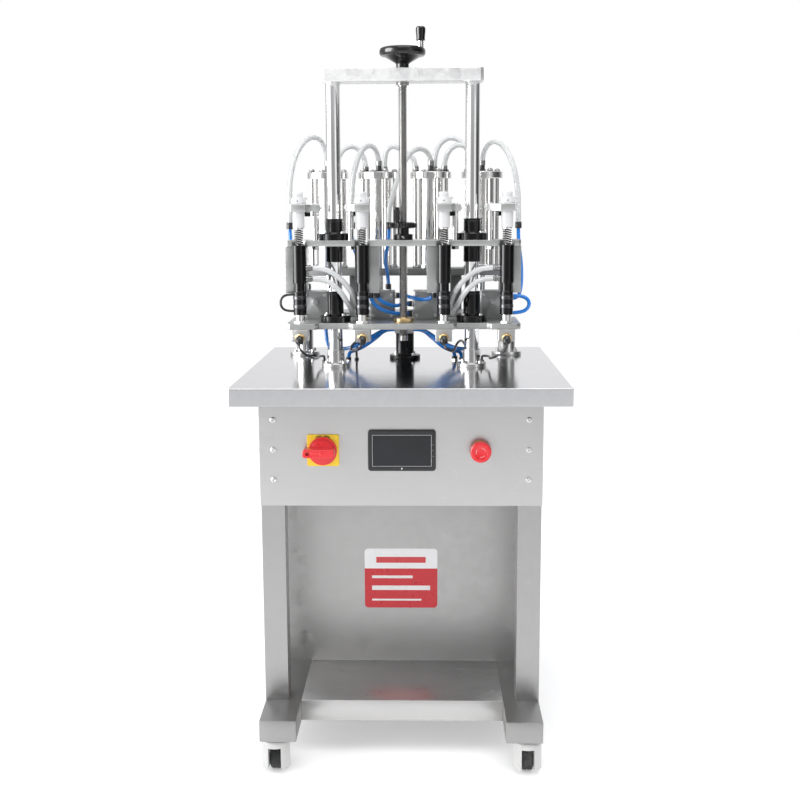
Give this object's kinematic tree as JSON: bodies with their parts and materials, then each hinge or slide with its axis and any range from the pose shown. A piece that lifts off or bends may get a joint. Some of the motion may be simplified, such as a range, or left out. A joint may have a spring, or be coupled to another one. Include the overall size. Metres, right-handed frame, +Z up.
{
  "type": "piston liquid filler",
  "caption": "Free-standing liquid filler: stainless table cabinet on casters, nozzle carriage on guide posts with a lead screw, metering cylinders behind.",
  "frame": {"origin": "on the floor under the middle of the machine's outline", "axes": "+X to the operator's right, +Y to the back, +Z up; the control panel faces -Y"},
  "size_m": [0.64, 0.78, 1.432],
  "materials": {
    "stainless_panel": "brushed sheet",
    "stainless_table": "polished sheet",
    "frame_tube": "brushed tube",
    "chrome_rod": "ground and chromed",
    "turned_steel": "turned",
    "aluminium_plate": "matt anodised",
    "aluminium_light": "sand blasted",
    "black_anodised": "black anodised",
    "black_plastic": "moulded",
    "white_plastic": "machined",
    "red_plastic": "moulded",
    "yellow_plastic": "moulded",
    "screen_glass": "dark glass",
    "brass": "machined",
    "clear_hose": "translucent",
    "blue_tube": "smooth",
    "black_cable": "smooth",
    "caster_hood": "moulded",
    "caster_tread": "moulded",
    "label_film": "printed film",
    "spring_steel": "wire"
  },
  "bodies": {
    "root": {"base_channels": "frame_tube", "cabinet_frame": "frame_tube", "cabinet_skins": "stainless_panel", "recess_panel": "stainless_panel", "rear_panel": "stainless_panel", "front_panel": "stainless_panel", "tabletop": "stainless_table", "shelf_tray": "stainless_panel", "frame_screws": "turned_steel", "main_switch_plate": "yellow_plastic", "hmi_bezel": "black_plastic", "hmi_screen": "screen_glass", "estop_collar": "black_plastic", "service_label": "label_film", "control_electrics": "black_plastic", "drive_cylinder": "aluminium_light", "guide_posts": "chrome_rod", "post_feet": "turned_steel", "rear_columns": "turned_steel", "center_column": "black_anodised", "top_beam": "aluminium_light", "rear_stand": "aluminium_plate", "metering_cylinders": "turned_steel", "product_hoses": "clear_hose", "air_tubes": "blue_tube", "sensor_cables": "black_cable"},
    "caster_swivel_1": {"caster_fork_1": "caster_hood"},
    "caster_swivel_2": {"caster_fork_2": "caster_hood"},
    "caster_swivel_3": {"caster_fork_3": "caster_hood"},
    "caster_swivel_4": {"caster_fork_4": "caster_hood"},
    "wheel_1": {"caster_wheel_1": "caster_tread"},
    "wheel_2": {"caster_wheel_2": "caster_tread"},
    "wheel_3": {"caster_wheel_3": "caster_tread"},
    "wheel_4": {"caster_wheel_4": "caster_tread"},
    "main_switch": {"main_switch_knob": "red_plastic"},
    "emergency_stop": {"estop_button": "red_plastic"},
    "screw": {"lead_screw": "chrome_rod", "top_handwheel": "black_plastic"},
    "crank": {"crank_grip": "black_plastic"},
    "carriage": {"lower_plate": "aluminium_plate", "lower_bushes": "black_anodised", "lead_nut": "brass", "nozzle_couplers": "black_anodised", "bottle_sensors": "aluminium_plate", "valve_blocks": "aluminium_plate"},
    "head": {"upper_plate": "aluminium_plate", "upper_bushes": "black_anodised", "guide_blocks": "aluminium_plate", "nozzle_sleeves": "black_anodised", "clamp_rods": "chrome_rod", "nozzle_heads": "white_plastic", "nozzle_springs": "spring_steel", "nozzle_hoses": "clear_hose"},
    "adjuster": {"adjust_wheel": "black_anodised"},
    "stem_1": {"nozzle_stem_1": "chrome_rod"},
    "stem_2": {"nozzle_stem_2": "chrome_rod"},
    "stem_3": {"nozzle_stem_3": "chrome_rod"},
    "stem_4": {"nozzle_stem_4": "chrome_rod"},
    "pistons": {"metering_pistons": "turned_steel", "piston_crosshead": "aluminium_plate"}
  },
  "joints": [
    {"name": "caster_1_swivel", "type": "hinge", "parent": "root", "child": "caster_swivel_1", "pos_m": [-0.241, -0.36, 0.07], "axis": [0, 0, 1], "continuous": true},
    {"name": "caster_1_roll", "type": "hinge", "parent": "caster_swivel_1", "child": "wheel_1", "pos_m": [-0.241, -0.348, 0.025], "axis": [1, 0, 0], "continuous": true},
    {"name": "caster_2_swivel", "type": "hinge", "parent": "root", "child": "caster_swivel_2", "pos_m": [0.241, -0.36, 0.07], "axis": [0, 0, 1], "continuous": true},
    {"name": "caster_2_roll", "type": "hinge", "parent": "caster_swivel_2", "child": "wheel_2", "pos_m": [0.241, -0.348, 0.025], "axis": [1, 0, 0], "continuous": true},
    {"name": "caster_3_swivel", "type": "hinge", "parent": "root", "child": "caster_swivel_3", "pos_m": [-0.241, 0.36, 0.07], "axis": [0, 0, 1], "continuous": true},
    {"name": "caster_3_roll", "type": "hinge", "parent": "caster_swivel_3", "child": "wheel_3", "pos_m": [-0.241, 0.348, 0.025], "axis": [1, 0, 0], "continuous": true},
    {"name": "caster_4_swivel", "type": "hinge", "parent": "root", "child": "caster_swivel_4", "pos_m": [0.241, 0.36, 0.07], "axis": [0, 0, 1], "continuous": true},
    {"name": "caster_4_roll", "type": "hinge", "parent": "caster_swivel_4", "child": "wheel_4", "pos_m": [0.241, 0.348, 0.025], "axis": [1, 0, 0], "continuous": true},
    {"name": "main_switch_turn", "type": "hinge", "parent": "root", "child": "main_switch", "pos_m": [-0.148, -0.2945, 0.6145], "axis": [0, 1, 0], "range_deg": [0, 90]},
    {"name": "emergency_stop_press", "type": "slide", "parent": "root", "child": "emergency_stop", "axis": [0, 1, 0], "range_m": [0, 0.005]},
    {"name": "carriage_lift", "type": "slide", "parent": "root", "child": "carriage", "axis": [0, 0, 1], "range_m": [-0.03, 0.12], "deforming": ["product_hoses", "air_tubes", "sensor_cables"]},
    {"name": "screw_turn", "type": "hinge", "parent": "root", "child": "screw", "pos_m": [0, -0.015, 1.3], "axis": [0, 0, 1], "range_deg": [-2790, 10890]},
    {"name": "crank_spin", "type": "hinge", "parent": "screw", "child": "crank", "pos_m": [0.037, -0.015, 1.41], "axis": [0, 0, 1], "continuous": true},
    {"name": "head_adjust", "type": "slide", "parent": "carriage", "child": "head", "axis": [0, 0, 1], "range_m": [-0.006, 0.01], "deforming": ["nozzle_hoses"]},
    {"name": "adjuster_turn", "type": "hinge", "parent": "head", "child": "adjuster", "pos_m": [0, -0.015, 1.02], "axis": [0, 0, 1], "range_deg": [-585, 945]},
    {"name": "nozzle_1_open", "type": "slide", "parent": "head", "child": "stem_1", "axis": [0, 0, -1], "range_m": [0, 0.008], "deforming": ["nozzle_springs"]},
    {"name": "nozzle_2_open", "type": "slide", "parent": "head", "child": "stem_2", "axis": [0, 0, -1], "range_m": [0, 0.008]},
    {"name": "nozzle_3_open", "type": "slide", "parent": "head", "child": "stem_3", "axis": [0, 0, -1], "range_m": [0, 0.008]},
    {"name": "nozzle_4_open", "type": "slide", "parent": "head", "child": "stem_4", "axis": [0, 0, -1], "range_m": [0, 0.008]},
    {"name": "piston_drive", "type": "slide", "parent": "root", "child": "pistons", "axis": [0, 0, 1], "range_m": [0, 0.07]}
  ],
  "couplings": [
    {"joint": "screw_turn", "follows": "carriage_lift", "rad_per_m": 1570.8},
    {"joint": "adjuster_turn", "follows": "head_adjust", "rad_per_m": 1570.8},
    {"joint": "nozzle_2_open", "follows": "nozzle_1_open", "ratio": 1},
    {"joint": "nozzle_3_open", "follows": "nozzle_1_open", "ratio": 1},
    {"joint": "nozzle_4_open", "follows": "nozzle_1_open", "ratio": 1}
  ]
}
